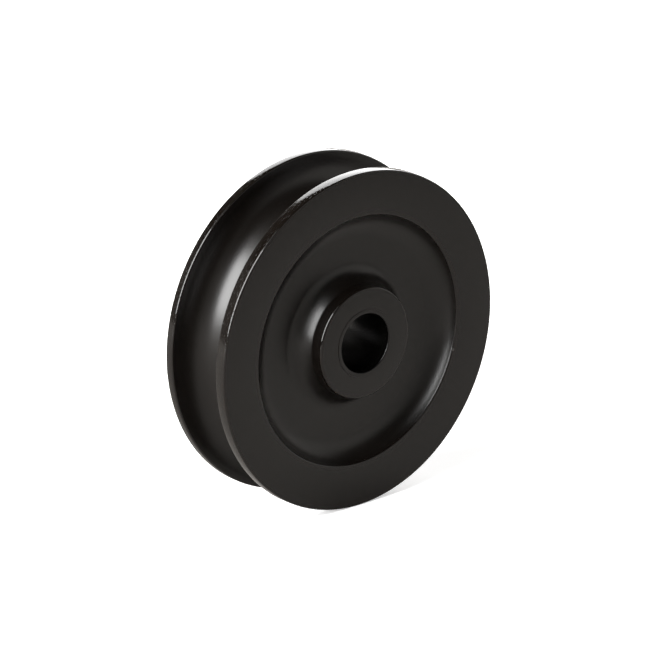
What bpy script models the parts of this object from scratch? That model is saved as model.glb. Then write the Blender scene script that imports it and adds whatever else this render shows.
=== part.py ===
"""Belt pulley: a moulded wheel with a round belt groove, turning on a plain sleeve through its hub.

Metres, +Z up. The turning axis is the Y axis, the middle of the bore is the origin, and the
front face looks along -Y.
"""

from math import acos, cos, degrees, pi, radians, sin

import bmesh
import bpy

# Rim
RIM_DIAMETER = 0.0800
RIM_WIDTH = 0.0204
FRONT_LAND = 0.0030
REAR_LAND = 0.0022
RIM_EDGE = 0.0004

# Belt groove: short straight walls, then a round bottom as wide as the groove
GROOVE_WALL = 0.0020

# Dished web between the rim and the hub, the same on both faces
RECESS_DIAMETER = 0.0600
RECESS_DEPTH = 0.0046
RECESS_BEND = 0.0066
RECESS_EDGE = 0.0005

# Hub, standing a little proud of the rim on both faces
HUB_DIAMETER = 0.0264
HUB_PROUD = 0.0022
HUB_EDGE = 0.0006

# The hub's foot, from its side to the web: a tight bend, a long flare, then a bend into the floor
FOOT_SLOPES = (90, 64, 50, 0)
FOOT_BENDS = (0.0012, 0.0100, 0.0040)
FOOT_STEPS = (1, 3, 4)

# Sleeve that stays still on the axle while the wheel turns around it
SLEEVE_BORE = 0.0140
SLEEVE_OUTER = 0.0160
SLEEVE_END_FLOAT = 0.0001
SLEEVE_BORE_EDGE = 0.00025
RUNNING_CLEARANCE = 0.00004

TURN_STEPS = 80
MERGE_DISTANCE = 1e-6
SHARP_ANGLE = radians(30)


def plastic(name, colour, roughness):
    material = bpy.data.materials.new(name)
    material.use_nodes = True
    surface = material.node_tree.nodes["Principled BSDF"]
    surface.inputs["Base Color"].default_value = (*colour, 1.0)
    surface.inputs["Roughness"].default_value = roughness
    surface.inputs["Metallic"].default_value = 0.0
    return material


def arc(centre, radius, start, end, steps):
    """Points (distance from the axis, distance forward) along an arc, angles in degrees."""
    points = []
    for step in range(steps + 1):
        angle = radians(start + (end - start) * step / steps)
        points.append((centre[0] + radius * cos(angle), centre[1] + radius * sin(angle)))
    return points


def hub_foot(distance, floor):
    """Points from the hub's straight side down to the floor of the web, one bend after another."""
    slopes = [radians(slope) for slope in FOOT_SLOPES]
    spans = list(zip(FOOT_BENDS, slopes, slopes[1:]))
    top = floor + sum(bend * (cos(low) - cos(high)) for bend, high, low in spans)
    points = [(distance, top)]
    for (bend, high, low), steps in zip(spans, FOOT_STEPS):
        distance, top = points[-1]
        for step in range(1, steps + 1):
            slope = high + (low - high) * step / steps
            out = bend * (sin(high) - sin(slope))
            down = bend * (cos(slope) - cos(high))
            points.append((distance + out, top - down))
    return points


def wheel_face():
    """Outline of the front face, from the hub's bore out to the land of the rim."""
    face = RIM_WIDTH / 2
    hub_face = face + HUB_PROUD
    hub = HUB_DIAMETER / 2
    recess = RECESS_DIAMETER / 2
    floor = face - RECESS_DEPTH
    rim = RIM_DIAMETER / 2
    lip_slope = acos(1 - RECESS_DEPTH / (RECESS_BEND + RECESS_EDGE))
    recess_foot = recess - (RECESS_BEND + RECESS_EDGE) * sin(lip_slope)
    turn = degrees(lip_slope)

    outline = [(SLEEVE_OUTER / 2 + RUNNING_CLEARANCE, hub_face)]
    outline += arc((hub - HUB_EDGE, hub_face - HUB_EDGE), HUB_EDGE, 90, 0, 2)
    outline += hub_foot(hub, floor)
    outline += arc((recess_foot, floor + RECESS_BEND), RECESS_BEND, 270, 270 + turn, 6)
    outline += arc((recess, face - RECESS_EDGE), RECESS_EDGE, 90 + turn, 90, 2)[1:]
    outline += arc((rim - RIM_EDGE, face - RIM_EDGE), RIM_EDGE, 90, 0, 1)
    return outline


def wheel_outline():
    """The wheel's whole section: front face, groove, then the rear face, mirrored, back to the bore."""
    face = RIM_WIDTH / 2
    rim = RIM_DIAMETER / 2
    groove_radius = (RIM_WIDTH - FRONT_LAND - REAR_LAND) / 2
    groove_middle = face - FRONT_LAND - groove_radius
    front = wheel_face()
    groove = arc((rim - GROOVE_WALL, groove_middle), groove_radius, 90, 270, 14)
    front_lip = groove_middle + groove_radius
    rear_lip = groove_middle - groove_radius
    front_corner = arc((rim - RIM_EDGE, front_lip + RIM_EDGE), RIM_EDGE, 0, -90, 1)
    rear_corner = arc((rim - RIM_EDGE, rear_lip - RIM_EDGE), RIM_EDGE, 90, 0, 1)
    rear = [(distance, -forward) for distance, forward in reversed(front)]
    return front + front_corner + groove + rear_corner + rear


def sleeve_outline():
    bore = SLEEVE_BORE / 2
    outer = SLEEVE_OUTER / 2
    end = RIM_WIDTH / 2 + HUB_PROUD + SLEEVE_END_FLOAT
    edge = SLEEVE_BORE_EDGE
    front = [(bore, end - edge), (bore + edge, end), (outer, end)]
    rear = [(distance, -forward) for distance, forward in reversed(front)]
    return front + rear


def turned(name, outline, material):
    """A closed solid turned about the Y axis from its outline, which runs outwards along the front."""
    shape = bmesh.new()
    points = [shape.verts.new((distance, -forward, 0.0)) for distance, forward in outline]
    edges = [shape.edges.new((points[i - 1], points[i])) for i in range(len(points))]
    bmesh.ops.spin(
        shape,
        geom=points + edges,
        axis=(0.0, 1.0, 0.0),
        cent=(0.0, 0.0, 0.0),
        angle=2 * pi,
        steps=TURN_STEPS,
        use_duplicate=False,
    )
    bmesh.ops.remove_doubles(shape, verts=shape.verts, dist=MERGE_DISTANCE)
    bmesh.ops.recalc_face_normals(shape, faces=shape.faces)

    mesh = bpy.data.meshes.new(name)
    shape.to_mesh(mesh)
    shape.free()
    mesh.shade_smooth()
    mesh.set_sharp_from_angle(angle=SHARP_ANGLE)
    mesh.materials.append(material)
    piece = bpy.data.objects.new(name, mesh)
    bpy.context.scene.collection.objects.link(piece)
    return piece


def build():
    for leftover in list(bpy.data.objects):
        bpy.data.objects.remove(leftover, do_unlink=True)
    wheel_black = plastic("wheel_black", (0.018, 0.018, 0.019), 0.35)
    sleeve_black = plastic("sleeve_black", (0.014, 0.014, 0.015), 0.3)
    turned("pulley_wheel", wheel_outline(), wheel_black)
    turned("bearing_sleeve", sleeve_outline(), sleeve_black)


build()
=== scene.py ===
"""Moulded belt pulley on its bearing sleeve, on a white table between softboxes."""
from math import acos, cos, degrees, pi, radians, sin, sqrt

import bpy
from mathutils import Matrix, Vector


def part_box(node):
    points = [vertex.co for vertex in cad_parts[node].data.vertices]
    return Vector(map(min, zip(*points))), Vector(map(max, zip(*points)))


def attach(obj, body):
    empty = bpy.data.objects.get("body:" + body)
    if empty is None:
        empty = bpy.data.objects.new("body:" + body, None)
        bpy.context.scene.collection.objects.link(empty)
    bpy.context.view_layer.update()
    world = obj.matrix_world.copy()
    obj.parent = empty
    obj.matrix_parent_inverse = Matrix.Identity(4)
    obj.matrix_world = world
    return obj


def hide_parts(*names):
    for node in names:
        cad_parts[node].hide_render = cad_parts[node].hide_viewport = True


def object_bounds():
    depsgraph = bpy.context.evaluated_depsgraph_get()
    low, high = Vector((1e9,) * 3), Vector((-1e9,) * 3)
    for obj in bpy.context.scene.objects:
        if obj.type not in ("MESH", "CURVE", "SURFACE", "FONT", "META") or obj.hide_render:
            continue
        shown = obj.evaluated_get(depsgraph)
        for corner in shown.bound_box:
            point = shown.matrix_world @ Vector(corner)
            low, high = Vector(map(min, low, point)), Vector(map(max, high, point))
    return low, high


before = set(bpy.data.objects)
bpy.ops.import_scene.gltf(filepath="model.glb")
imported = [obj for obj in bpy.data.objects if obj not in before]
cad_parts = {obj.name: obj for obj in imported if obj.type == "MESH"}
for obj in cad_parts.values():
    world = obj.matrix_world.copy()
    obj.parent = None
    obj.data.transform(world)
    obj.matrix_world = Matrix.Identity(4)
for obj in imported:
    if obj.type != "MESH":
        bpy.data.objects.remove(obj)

cad_low, cad_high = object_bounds()

# ---------------------------------------------------------------- sizes, in metres
wheel_low, wheel_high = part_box("pulley_wheel")
sleeve_low, sleeve_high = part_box("bearing_sleeve")

# Distances from the turning axis, and distances forward from the middle plane
RIM = wheel_high[2]
HUB = 0.0132
SLEEVE_OUTER = sleeve_high[2]
SLEEVE_BORE = 0.0070
HUB_FACE = wheel_high[1]
SLEEVE_END = sleeve_high[1]
HUB_PROUD = 0.0022
FACE = HUB_FACE - HUB_PROUD
RUNNING_CLEARANCE = 0.00004

# Dished web: its floor, and the one bend that makes its wall
RECESS = 0.0300
RECESS_DEPTH = 0.0046
RECESS_BEND = 0.0066
FLOOR = FACE - RECESS_DEPTH

# The hub's foot: the slopes in degrees where its bends start and end, and each bend's radius
FOOT_SLOPES = (90, 64, 50, 0)
FOOT_BENDS = (0.0012, 0.0100, 0.0040)

# Belt groove between the two lands: straight walls, then a half circle
FRONT_LAND = 0.0030
REAR_LAND = 0.0022
GROOVE_WALL = 0.0020
GROOVE = (2 * FACE - FRONT_LAND - REAR_LAND) / 2
GROOVE_MIDDLE = FACE - FRONT_LAND - GROOVE

# Rounding of the edges
RIM_EDGE = 0.0004
RECESS_EDGE = 0.0005
HUB_EDGE = 0.0006
BORE_EDGE = 0.00025

# Fineness of the turning
ROUND_STEPS = 320
GROOVE_STEPS = 36
WALL_STEPS = 24
FOOT_STEPS = 10
LIP_STEPS = 5
EDGE_STEPS = 4
HUB_EDGE_STEPS = 5
SMOOTH_ANGLE = 35
NEAR = 1e-5
MERGE_DISTANCE = 1e-6

# ---------------------------------------------------------------- finishes
BLACK = (0.0030, 0.0020, 0.0014)
RUBBED = (0.10, 0.095, 0.09)
# The bore's darker black is painted shade inside the hole.
BORE_SHADE_BLACK = (0.0006, 0.0005, 0.0004)
PLASTIC_IOR = 1.5

# Roughness, from 0 to 1, and how far it wanders
SATIN = 0.31
SATIN_SPREAD = 0.02
LAND_SHINE = 0.03
LAND_SCUFF = 0.20
EDGE_SHINE = 0.02
BORE_SHINE = 0.24
BORE_SPREAD = 0.03
BORE_GLOSS = 0.40

# Pattern scales per metre, and a speck's size as a share of its cell
WHEEL_GRAIN = {"Grain": 2600.0, "Cloud": 60.0, "Speck": 420.0, "Speck_Size": 0.16}
SLEEVE_GRAIN = {"Grain": 3200.0, "Cloud": 90.0, "Speck": 520.0, "Speck_Size": 0.12}
LAND_SCALE = 2600.0
GRAIN_DETAIL = 3.0
CLOUD_DETAIL = 4.0

# Strengths
SCUFF_START = 0.60
SCUFF_FULL = 0.68
SCUFF_HEIGHT = 1.2
DUST_SHARE = 0.03
SPECK_CHANCE = 0.8
WHEEL_BUMP = 0.4
SLEEVE_BUMP = 0.10
BUMP_HEIGHT = 0.00003

# How wide the shine along an edge is, and how much of that is at full strength
EDGE_WIDTH = 0.0007
EDGE_CORE = 0.45
LAND_START = 0.0004
LAND_FULL = 0.0001

# ---------------------------------------------------------------- camera, lights and room
VIEW_AZIMUTH = radians(-40.6)
VIEW_ELEVATION = radians(20.0)
VIEW_DISTANCE = 60 * RIM
FRAME_WIDTH = 0.1520
AIM_LEFT = 0.0054
AIM_UP = 0.0013
SENSOR = 36
FAR_CLIP = 100

# Softboxes: azimuth from +X towards +Y, elevation, distance, width, height, brightness
SOFTBOXES = {
    "left_softbox": (176.5, 31, 0.9, 0.72, 0.84, 13),
    "front_softbox": (185, 39, 1.2, 1.15, 1.45, 1.0),
    "back_softbox": (44, 25, 1.0, 0.95, 0.75, 4.8),
}

# The table gets a greyer colour for glossy rays than for the camera: painted shade in the wheel's reflections of
# the table
TABLE_SIZE = 3.0
TABLE_ROUGHNESS = 0.9
TABLE_WHITE = (0.90, 0.90, 0.90)
TABLE_SHADE_IN_GLOSS = (0.304, 0.288, 0.270)
TABLE_GLOW = 0.45

# The walls are lighter towards one side and fade into a dark ceiling
WALL_WAY = (0.97, -0.26, 0)
WALL_TURN = (-0.1, 1.0)
WALL_SHADE = 0.33
WALL_LIGHT = 0.68
WALL_TINT = (1.0, 0.96, 0.91)
WALL_TOP = (0.4, 0.65)
CEILING_LIGHT = 0.05
BACKDROP = 1.1


# ---------------------------------------------------------------- turning
def deselect():
    bpy.ops.object.select_all(action="DESELECT")


def arc(centre, radius, start, end, steps):
    """Points (distance from the axis, distance forward) along an arc, angles in degrees."""
    points = []
    for step in range(steps + 1):
        angle = radians(start + (end - start) * step / steps)
        points.append((centre[0] + radius * cos(angle), centre[1] + radius * sin(angle)))
    return points


def foot(radius, floor):
    """The hub's foot, from its straight side to the floor, through one bend after another."""
    slopes = [radians(slope) for slope in FOOT_SLOPES]
    spans = list(zip(FOOT_BENDS, slopes, slopes[1:]))
    top = floor + sum(bend * (cos(low) - cos(high)) for bend, high, low in spans)
    points = [(radius, top)]
    for bend, high, low in spans:
        radius, top = points[-1]
        for step in range(1, FOOT_STEPS + 1):
            slope = high + (low - high) * step / FOOT_STEPS
            out = bend * (sin(high) - sin(slope))
            down = bend * (cos(slope) - cos(high))
            points.append((radius + out, top - down))
    return points


def turned(name, corners):
    """A ring drawn out along its section, corner by corner; a corner is (radius, forward)."""
    deselect()
    radius, forward = corners[0]
    bpy.ops.mesh.primitive_circle_add(
        vertices=ROUND_STEPS, radius=radius, location=(0, -forward, 0), rotation=(pi / 2, 0, 0)
    )
    piece = bpy.context.active_object
    piece.name = name
    piece.data.name = name
    bpy.ops.object.transform_apply(location=True, rotation=True, scale=True)
    bpy.ops.object.mode_set(mode="EDIT")
    bpy.ops.mesh.select_all(action="SELECT")
    for next_radius, next_forward in corners[1:]:
        bpy.ops.mesh.extrude_region()
        if next_radius != radius:
            grow = next_radius / radius
            bpy.ops.transform.resize(value=(grow, 1, grow), center_override=(0, 0, 0))
        if next_forward != forward:
            bpy.ops.transform.translate(value=(0, forward - next_forward, 0))
        radius, forward = next_radius, next_forward
    bpy.ops.mesh.select_all(action="DESELECT")
    bpy.ops.mesh.select_mode(type="EDGE")
    bpy.ops.mesh.select_non_manifold()
    bpy.ops.mesh.bridge_edge_loops()
    bpy.ops.mesh.select_all(action="SELECT")
    bpy.ops.mesh.normals_make_consistent(inside=False)
    bpy.ops.object.mode_set(mode="OBJECT")
    return piece


def select_ring(piece, radius, forward):
    """Selects the ring of edges at this radius and this distance forward."""
    bpy.ops.object.mode_set(mode="EDIT")
    bpy.ops.mesh.select_mode(type="EDGE")
    bpy.ops.mesh.select_all(action="DESELECT")
    bpy.ops.object.mode_set(mode="OBJECT")
    mesh = piece.data

    def on_ring(index):
        place = mesh.vertices[index].co
        off_radius = abs(sqrt(place.x ** 2 + place.z ** 2) - radius)
        return off_radius < NEAR and abs(place.y + forward) < NEAR

    found = 0
    for edge in mesh.edges:
        if on_ring(edge.vertices[0]) and on_ring(edge.vertices[1]):
            edge.select = True
            found += 1
    assert found == ROUND_STEPS, (radius, forward, found)
    bpy.ops.object.mode_set(mode="EDIT")


def round_ring(piece, radius, forward, size, segments):
    select_ring(piece, radius, forward)
    bpy.ops.mesh.bevel(offset=size, offset_type="OFFSET", segments=segments, profile=0.5)
    bpy.ops.object.mode_set(mode="OBJECT")


def finish_turned(piece):
    bpy.ops.object.mode_set(mode="EDIT")
    bpy.ops.mesh.select_all(action="SELECT")
    bpy.ops.mesh.remove_doubles(threshold=MERGE_DISTANCE)
    bpy.ops.mesh.normals_make_consistent(inside=False)
    bpy.ops.object.mode_set(mode="OBJECT")
    bpy.ops.object.shade_smooth_by_angle(angle=radians(SMOOTH_ANGLE))
    piece.select_set(False)


def make_wheel():
    bore = SLEEVE_OUTER + RUNNING_CLEARANCE
    lip_slope = acos(1 - RECESS_DEPTH / (RECESS_BEND + RECESS_EDGE))
    wall = RECESS - (RECESS_BEND + RECESS_EDGE) * sin(lip_slope)
    turn = degrees(lip_slope)
    side = [(bore, HUB_FACE), (HUB, HUB_FACE)]
    side += foot(HUB, FLOOR)
    side += arc((wall, FLOOR + RECESS_BEND), RECESS_BEND, 270, 270 + turn, WALL_STEPS)
    side += arc((RECESS, FACE - RECESS_EDGE), RECESS_EDGE, 90 + turn, 90, LIP_STEPS)[1:]
    side.append((RIM, FACE))
    other_side = [(radius, -forward) for radius, forward in reversed(side)]
    groove = [(RIM, GROOVE_MIDDLE + GROOVE)]
    groove += arc((RIM - GROOVE_WALL, GROOVE_MIDDLE), GROOVE, 90, 270, GROOVE_STEPS)
    groove += [(RIM, GROOVE_MIDDLE - GROOVE)]
    wheel = turned("turned_wheel", side + groove + other_side)
    for way in (1, -1):
        round_ring(wheel, HUB, way * HUB_FACE, HUB_EDGE, HUB_EDGE_STEPS)
        round_ring(wheel, RIM, way * FACE, RIM_EDGE, EDGE_STEPS)
        round_ring(wheel, RIM, GROOVE_MIDDLE + way * GROOVE, RIM_EDGE, EDGE_STEPS)
    finish_turned(wheel)
    return wheel


def make_sleeve():
    corners = [
        (SLEEVE_BORE, SLEEVE_END), (SLEEVE_OUTER, SLEEVE_END),
        (SLEEVE_OUTER, -SLEEVE_END), (SLEEVE_BORE, -SLEEVE_END),
    ]
    sleeve = turned("bore_sleeve", corners)
    for way in (1, -1):
        round_ring(sleeve, SLEEVE_BORE, way * SLEEVE_END, BORE_EDGE, EDGE_STEPS)
    finish_turned(sleeve)
    return sleeve


# ---------------------------------------------------------------- node helpers
def node(tree, kind, place, **settings):
    made = tree.nodes.new(kind)
    made.location = place
    for key, value in settings.items():
        setattr(made, key, value)
    return made


def feed(tree, source, target):
    """Sets a socket to a number or a colour, or links another socket to it."""
    if isinstance(source, bpy.types.NodeSocket):
        tree.links.new(source, target)
    else:
        target.default_value = source


def calculate(tree, operation, place, *values, clamp=False):
    made = node(tree, "ShaderNodeMath", place, operation=operation, use_clamp=clamp)
    for socket, value in zip(made.inputs, values):
        feed(tree, value, socket)
    return made.outputs[0]


def fade(tree, place, value, low, high, to_low, to_high):
    """Value turned smoothly from to_low to to_high as it goes from low to high."""
    made = node(tree, "ShaderNodeMapRange", place, interpolation_type="SMOOTHSTEP")
    names = ("Value", "From Min", "From Max", "To Min", "To Max")
    for name, number in zip(names, (value, low, high, to_low, to_high)):
        feed(tree, number, made.inputs[name])
    return made.outputs["Result"]


def noise(tree, place, vector, scale, detail):
    made = node(tree, "ShaderNodeTexNoise", place)
    feed(tree, vector, made.inputs["Vector"])
    feed(tree, scale, made.inputs["Scale"])
    made.inputs["Detail"].default_value = detail
    return made.outputs["Fac"]


def mix_colour(tree, place, amount, first, second):
    made = node(tree, "ShaderNodeMix", place, data_type="RGBA")
    for socket, value in zip((made.inputs[0], made.inputs[6], made.inputs[7]), (amount, first, second)):
        feed(tree, value, socket)
    return made.outputs[2]


def mix_number(tree, place, amount, first, second):
    made = node(tree, "ShaderNodeMix", place, data_type="FLOAT")
    for name, value in (("Factor", amount), ("A", first), ("B", second)):
        feed(tree, value, made.inputs[name])
    return made.outputs["Result"]


def bump(tree, surface, height, strength, place):
    made = node(tree, "ShaderNodeBump", place)
    made.inputs["Strength"].default_value = strength
    made.inputs["Distance"].default_value = BUMP_HEIGHT
    feed(tree, height, made.inputs["Height"])
    feed(tree, made.outputs["Normal"], surface.inputs["Normal"])


# ---------------------------------------------------------------- shared effects
def new_group(name, inputs, outputs):
    group = bpy.data.node_groups.new(name, "ShaderNodeTree")
    for direction, sockets in (("INPUT", inputs), ("OUTPUT", outputs)):
        for socket_name, kind in sockets:
            group.interface.new_socket(socket_name, in_out=direction, socket_type="NodeSocket" + kind)
    entry = node(group, "NodeGroupInput", (-900, 0))
    leave = node(group, "NodeGroupOutput", (900, 0))
    return group, entry.outputs, leave.inputs


def place_group(tree, group, place, **values):
    made = node(tree, "ShaderNodeGroup", place, node_tree=group)
    for name, value in values.items():
        feed(tree, value, made.inputs[name.replace("_", " ")])
    return made.outputs


def make_section_group():
    """Where a point lies in the turned section: its distance from the axis and from the middle plane."""
    inputs = [("Vector", "Vector")]
    outputs = [("Radius", "Float"), ("Side", "Float")]
    group, given, out = new_group("turned_section", inputs, outputs)
    parts = node(group, "ShaderNodeSeparateXYZ", (-700, 0))
    feed(group, given["Vector"], parts.inputs[0])
    across = calculate(group, "MULTIPLY", (-500, 150), parts.outputs["X"], parts.outputs["X"])
    squared = calculate(group, "MULTIPLY_ADD", (-300, 100), parts.outputs["Z"], parts.outputs["Z"], across)
    feed(group, calculate(group, "SQRT", (-100, 100), squared), out["Radius"])
    feed(group, calculate(group, "ABSOLUTE", (-100, -100), parts.outputs["Y"]), out["Side"])
    return group


def make_ring_group():
    """A mask round a turned edge: 1 at and close to the edge, fading to 0 at the given width."""
    wanted = ["Radius", "Side", "Edge Radius", "Edge Side", "Width"]
    inputs = [(name, "Float") for name in wanted]
    group, given, out = new_group("turned_edge", inputs, [("Mask", "Float")])
    off_radius = calculate(group, "SUBTRACT", (-700, 150), given["Radius"], given["Edge Radius"])
    off_side = calculate(group, "SUBTRACT", (-700, -100), given["Side"], given["Edge Side"])
    radius_squared = calculate(group, "MULTIPLY", (-500, 150), off_radius, off_radius)
    squared = calculate(group, "MULTIPLY_ADD", (-300, 50), off_side, off_side, radius_squared)
    distance = calculate(group, "SQRT", (-100, 50), squared)
    core = calculate(group, "MULTIPLY", (-100, -150), given["Width"], EDGE_CORE)
    feed(group, fade(group, (150, 50), distance, core, given["Width"], 1.0, 0.0), out["Mask"])
    return group


def make_grain_group():
    """Fine moulding grain over slow cloudiness, with sparse specks of dust and tiny chips."""
    inputs = [("Vector", "Vector")]
    inputs += [(name, "Float") for name in ("Grain", "Cloud", "Speck", "Speck Size")]
    outputs = [("Height", "Float"), ("Cloud", "Float"), ("Specks", "Float")]
    group, given, out = new_group("moulded_grain", inputs, outputs)
    feed(group, noise(group, (-500, 250), given["Vector"], given["Grain"], GRAIN_DETAIL), out["Height"])
    cloud = noise(group, (-500, 0), given["Vector"], given["Cloud"], CLOUD_DETAIL)
    feed(group, fade(group, (-250, 0), cloud, 0.3, 0.7, 0.0, 1.0), out["Cloud"])
    cells = node(group, "ShaderNodeTexVoronoi", (-500, -250))
    feed(group, given["Vector"], cells.inputs["Vector"])
    feed(group, given["Speck"], cells.inputs["Scale"])
    near = fade(group, (-250, -250), cells.outputs["Distance"], 0.0, given["Speck Size"], 1.0, 0.0)
    pick = node(group, "ShaderNodeSeparateColor", (-250, -450))
    feed(group, cells.outputs["Color"], pick.inputs[0])
    chosen = calculate(group, "GREATER_THAN", (0, -450), pick.outputs["Red"], SPECK_CHANCE)
    feed(group, calculate(group, "MULTIPLY", (200, -300), near, chosen), out["Specks"])
    return group


SECTION = make_section_group()
RING = make_ring_group()
GRAIN = make_grain_group()


# ---------------------------------------------------------------- materials
def start_material(name, colour, grain):
    """A new plastic, with its place on the piece and its grain."""
    material = bpy.data.materials.new(name)
    material.use_nodes = True
    tree = material.node_tree
    surface = tree.nodes["Principled BSDF"]
    surface.location = (1400, 0)
    tree.nodes["Material Output"].location = (1700, 0)
    surface.inputs["Base Color"].default_value = (*colour, 1)
    surface.inputs["IOR"].default_value = PLASTIC_IOR
    place = node(tree, "ShaderNodeTexCoord", (-1200, 0)).outputs["Object"]
    grains = place_group(tree, GRAIN, (-600, -300), Vector=place, **grain)
    return material, tree, surface, place, grains


def edges_mask(tree, section, rings):
    """All the turned edges' masks together; a ring is (radius, distance from the middle plane)."""
    total = 0.0
    for count, (radius, side) in enumerate(rings):
        height = 700 - 180 * count
        mask = place_group(
            tree, RING, (-600, height), Radius=section["Radius"], Side=section["Side"],
            Edge_Radius=radius, Edge_Side=side, Width=EDGE_WIDTH,
        )
        total = calculate(tree, "MAXIMUM", (-350, height), mask["Mask"], total)
    return total


def wheel_material():
    """Black thermoset: satin where the mould left it, polished and scuffed on the lands, shiny along its edges."""
    material, tree, surface, place, grain = start_material("moulded_black", BLACK, WHEEL_GRAIN)
    section = place_group(tree, SECTION, (-950, 200), Vector=place)
    edges = edges_mask(tree, section, [(RIM, FACE), (RECESS, FACE), (HUB, HUB_FACE)])
    on_land = fade(tree, (-350, 0), section["Radius"], RIM - LAND_START, RIM - LAND_FULL, 0.0, 1.0)
    scratches = noise(tree, (-350, -550), place, LAND_SCALE, GRAIN_DETAIL)
    scuffed = fade(tree, (-150, -650), scratches, SCUFF_START, SCUFF_FULL, 0.0, 1.0)

    low, high = SATIN - SATIN_SPREAD, SATIN + SATIN_SPREAD
    satin = fade(tree, (-100, -200), grain["Cloud"], 0.0, 1.0, low, high)
    scuff_shine = calculate(
        tree, "MULTIPLY_ADD", (-50, -550), scuffed, LAND_SCUFF - LAND_SHINE, LAND_SHINE - SATIN
    )
    polish = calculate(tree, "MULTIPLY_ADD", (100, -200), on_land, scuff_shine, satin)
    rubbed = calculate(tree, "MULTIPLY_ADD", (300, -200), edges, EDGE_SHINE - SATIN, polish)
    feed(tree, calculate(tree, "MAXIMUM", (500, -200), rubbed, EDGE_SHINE), surface.inputs["Roughness"])

    chips = calculate(tree, "MULTIPLY", (100, 250), edges, grain["Specks"])
    dust = calculate(tree, "MULTIPLY", (100, 50), grain["Specks"], DUST_SHARE)
    light = calculate(tree, "ADD", (300, 200), chips, dust, clamp=True)
    feed(tree, mix_colour(tree, (550, 250), light, (*BLACK, 1), (*RUBBED, 1)), surface.inputs["Base Color"])

    ripples = calculate(tree, "MULTIPLY", (100, -450), scuffed, SCUFF_HEIGHT)
    height = calculate(tree, "MULTIPLY_ADD", (600, -400), ripples, on_land, grain["Height"])
    bump(tree, surface, height, WHEEL_BUMP, (900, -300))
    return material


def sleeve_material():
    """Black bearing plastic, smooth, on the sleeve's ends and outside."""
    material, tree, surface, place, grain = start_material("sleeve_black", BLACK, SLEEVE_GRAIN)
    low, high = SATIN - SATIN_SPREAD, SATIN + SATIN_SPREAD
    feed(tree, fade(tree, (-100, -200), grain["Cloud"], 0.0, 1.0, low, high), surface.inputs["Roughness"])
    dust = calculate(tree, "MULTIPLY", (100, 50), grain["Specks"], DUST_SHARE)
    feed(tree, mix_colour(tree, (550, 250), dust, (*BLACK, 1), (*RUBBED, 1)), surface.inputs["Base Color"])
    bump(tree, surface, grain["Height"], SLEEVE_BUMP, (900, -300))
    return material


def bore_material():
    """Dull bearing face inside the sleeve, unevenly polished by the axle; its darker black is painted shade inside
    the hole.
    """
    material, tree, surface, place, grain = start_material("bore_painted_shade", BORE_SHADE_BLACK, SLEEVE_GRAIN)
    surface.inputs["Specular IOR Level"].default_value = BORE_GLOSS
    low, high = BORE_SHINE - BORE_SPREAD, BORE_SHINE + BORE_SPREAD
    feed(tree, fade(tree, (-100, -200), grain["Cloud"], 0.0, 1.0, low, high), surface.inputs["Roughness"])
    bump(tree, surface, grain["Height"], SLEEVE_BUMP, (900, -300))
    return material


def dress(piece, material):
    piece.data.materials.clear()
    piece.data.materials.append(material)


def line_bore(sleeve, material):
    """Gives the bore and its rounded ends the dull material, whose darker black is painted shade inside the hole;
    the end faces keep the moulded one.
    """
    sleeve.data.materials.append(material)
    for face in sleeve.data.polygons:
        middle = face.center
        if sqrt(middle.x ** 2 + middle.z ** 2) < SLEEVE_BORE + BORE_EDGE:
            face.material_index = 1


# ---------------------------------------------------------------- studio
def make_camera():
    """Looks from the left of the front face and a little above, from far away."""
    right = Vector((cos(VIEW_AZIMUTH), sin(VIEW_AZIMUTH), 0))
    level = cos(VIEW_ELEVATION)
    back = Vector((sin(VIEW_AZIMUTH) * level, -cos(VIEW_AZIMUTH) * level, sin(VIEW_ELEVATION)))
    up = back.cross(right)
    data = bpy.data.cameras.new("studio_camera")
    data.sensor_width = SENSOR
    data.lens = SENSOR * VIEW_DISTANCE / FRAME_WIDTH
    data.clip_end = FAR_CLIP
    camera = bpy.data.objects.new("studio_camera", data)
    bpy.context.scene.collection.objects.link(camera)
    rim_centre = Vector((0, -FACE, 0))
    aim = rim_centre - right * AIM_LEFT + up * AIM_UP
    turn = Matrix((right, up, back)).transposed().to_4x4()
    camera.matrix_world = Matrix.Translation(aim + back * VIEW_DISTANCE) @ turn
    bpy.context.scene.camera = camera


def softbox(name, azimuth, elevation, distance, width, height, brightness):
    """A rectangular light that faces the wheel and isn't seen itself."""
    data = bpy.data.lights.new(name, "AREA")
    data.shape = "RECTANGLE"
    data.size = width
    data.size_y = height
    data.energy = brightness * pi * width * height
    light = bpy.data.objects.new(name, data)
    bpy.context.scene.collection.objects.link(light)
    level = cos(radians(elevation))
    way = Vector((cos(radians(azimuth)) * level, sin(radians(azimuth)) * level, sin(radians(elevation))))
    light.location = way * distance
    light.rotation_euler = way.to_track_quat("Z", "Y").to_euler()
    light.visible_camera = False


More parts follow.
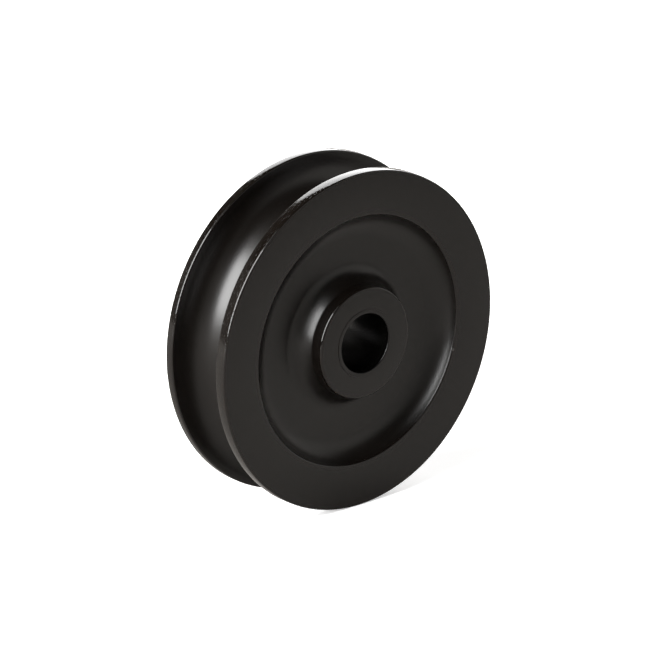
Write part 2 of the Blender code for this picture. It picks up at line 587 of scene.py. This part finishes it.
def make_table():
    deselect()
    bpy.ops.mesh.primitive_plane_add(size=TABLE_SIZE, location=(0, 0, cad_low[2]))
    table = bpy.context.active_object
    table.name = "studio_floor"
    material = bpy.data.materials.new("white_table")
    material.use_nodes = True
    tree = material.node_tree
    surface = tree.nodes["Principled BSDF"]
    path = node(tree, "ShaderNodeLightPath", (-500, 0)).outputs
    # painted shade: a greyer table colour for glossy rays only, which darkens the table's reflection in the wheel
    table_with_gloss_shade = mix_colour(tree, (-250, 0), path["Is Glossy Ray"], (*TABLE_WHITE, 1), (*TABLE_SHADE_IN_GLOSS, 1))
    feed(tree, table_with_gloss_shade, surface.inputs["Base Color"])
    surface.inputs["Roughness"].default_value = TABLE_ROUGHNESS
    surface.inputs["Emission Color"].default_value = (1, 1, 1, 1)
    glow = calculate(tree, "MULTIPLY", (-250, -200), path["Is Camera Ray"], TABLE_GLOW)
    feed(tree, glow, surface.inputs["Emission Strength"])
    dress(table, material)
    table.select_set(False)


def make_world():
    """Room light: walls that fade upwards into a dark ceiling, with a white backdrop for the camera."""
    world = bpy.data.worlds.new("studio_air")
    bpy.context.scene.world = world
    world.use_nodes = True
    tree = world.node_tree
    background = tree.nodes["Background"]
    way = node(tree, "ShaderNodeTexCoord", (-900, 0)).outputs["Generated"]
    parts = node(tree, "ShaderNodeSeparateXYZ", (-700, 0))
    feed(tree, way, parts.inputs[0])
    towards_light = node(tree, "ShaderNodeVectorMath", (-700, -200), operation="DOT_PRODUCT")
    feed(tree, way, towards_light.inputs[0])
    towards_light.inputs[1].default_value = WALL_WAY
    lit = fade(tree, (-500, -200), towards_light.outputs["Value"], *WALL_TURN, WALL_SHADE, WALL_LIGHT)
    walls = fade(tree, (-300, 0), parts.outputs["Z"], *WALL_TOP, lit, CEILING_LIGHT)
    seen = node(tree, "ShaderNodeLightPath", (-300, 300)).outputs["Is Camera Ray"]
    background.inputs["Color"].default_value = (*WALL_TINT, 1)
    feed(tree, mix_number(tree, (-100, 0), seen, walls, BACKDROP), background.inputs["Strength"])


# ---------------------------------------------------------------- assembly
wheel = make_wheel()
sleeve = make_sleeve()
dress(wheel, wheel_material())
dress(sleeve, sleeve_material())
line_bore(sleeve, bore_material())
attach(wheel, "wheel")
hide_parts("pulley_wheel")
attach(sleeve, "sleeve")
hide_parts("bearing_sleeve")

make_table()
make_world()
make_camera()
for name, setting in SOFTBOXES.items():
    softbox(name, *setting)
bpy.context.scene.view_settings.view_transform = "Standard"
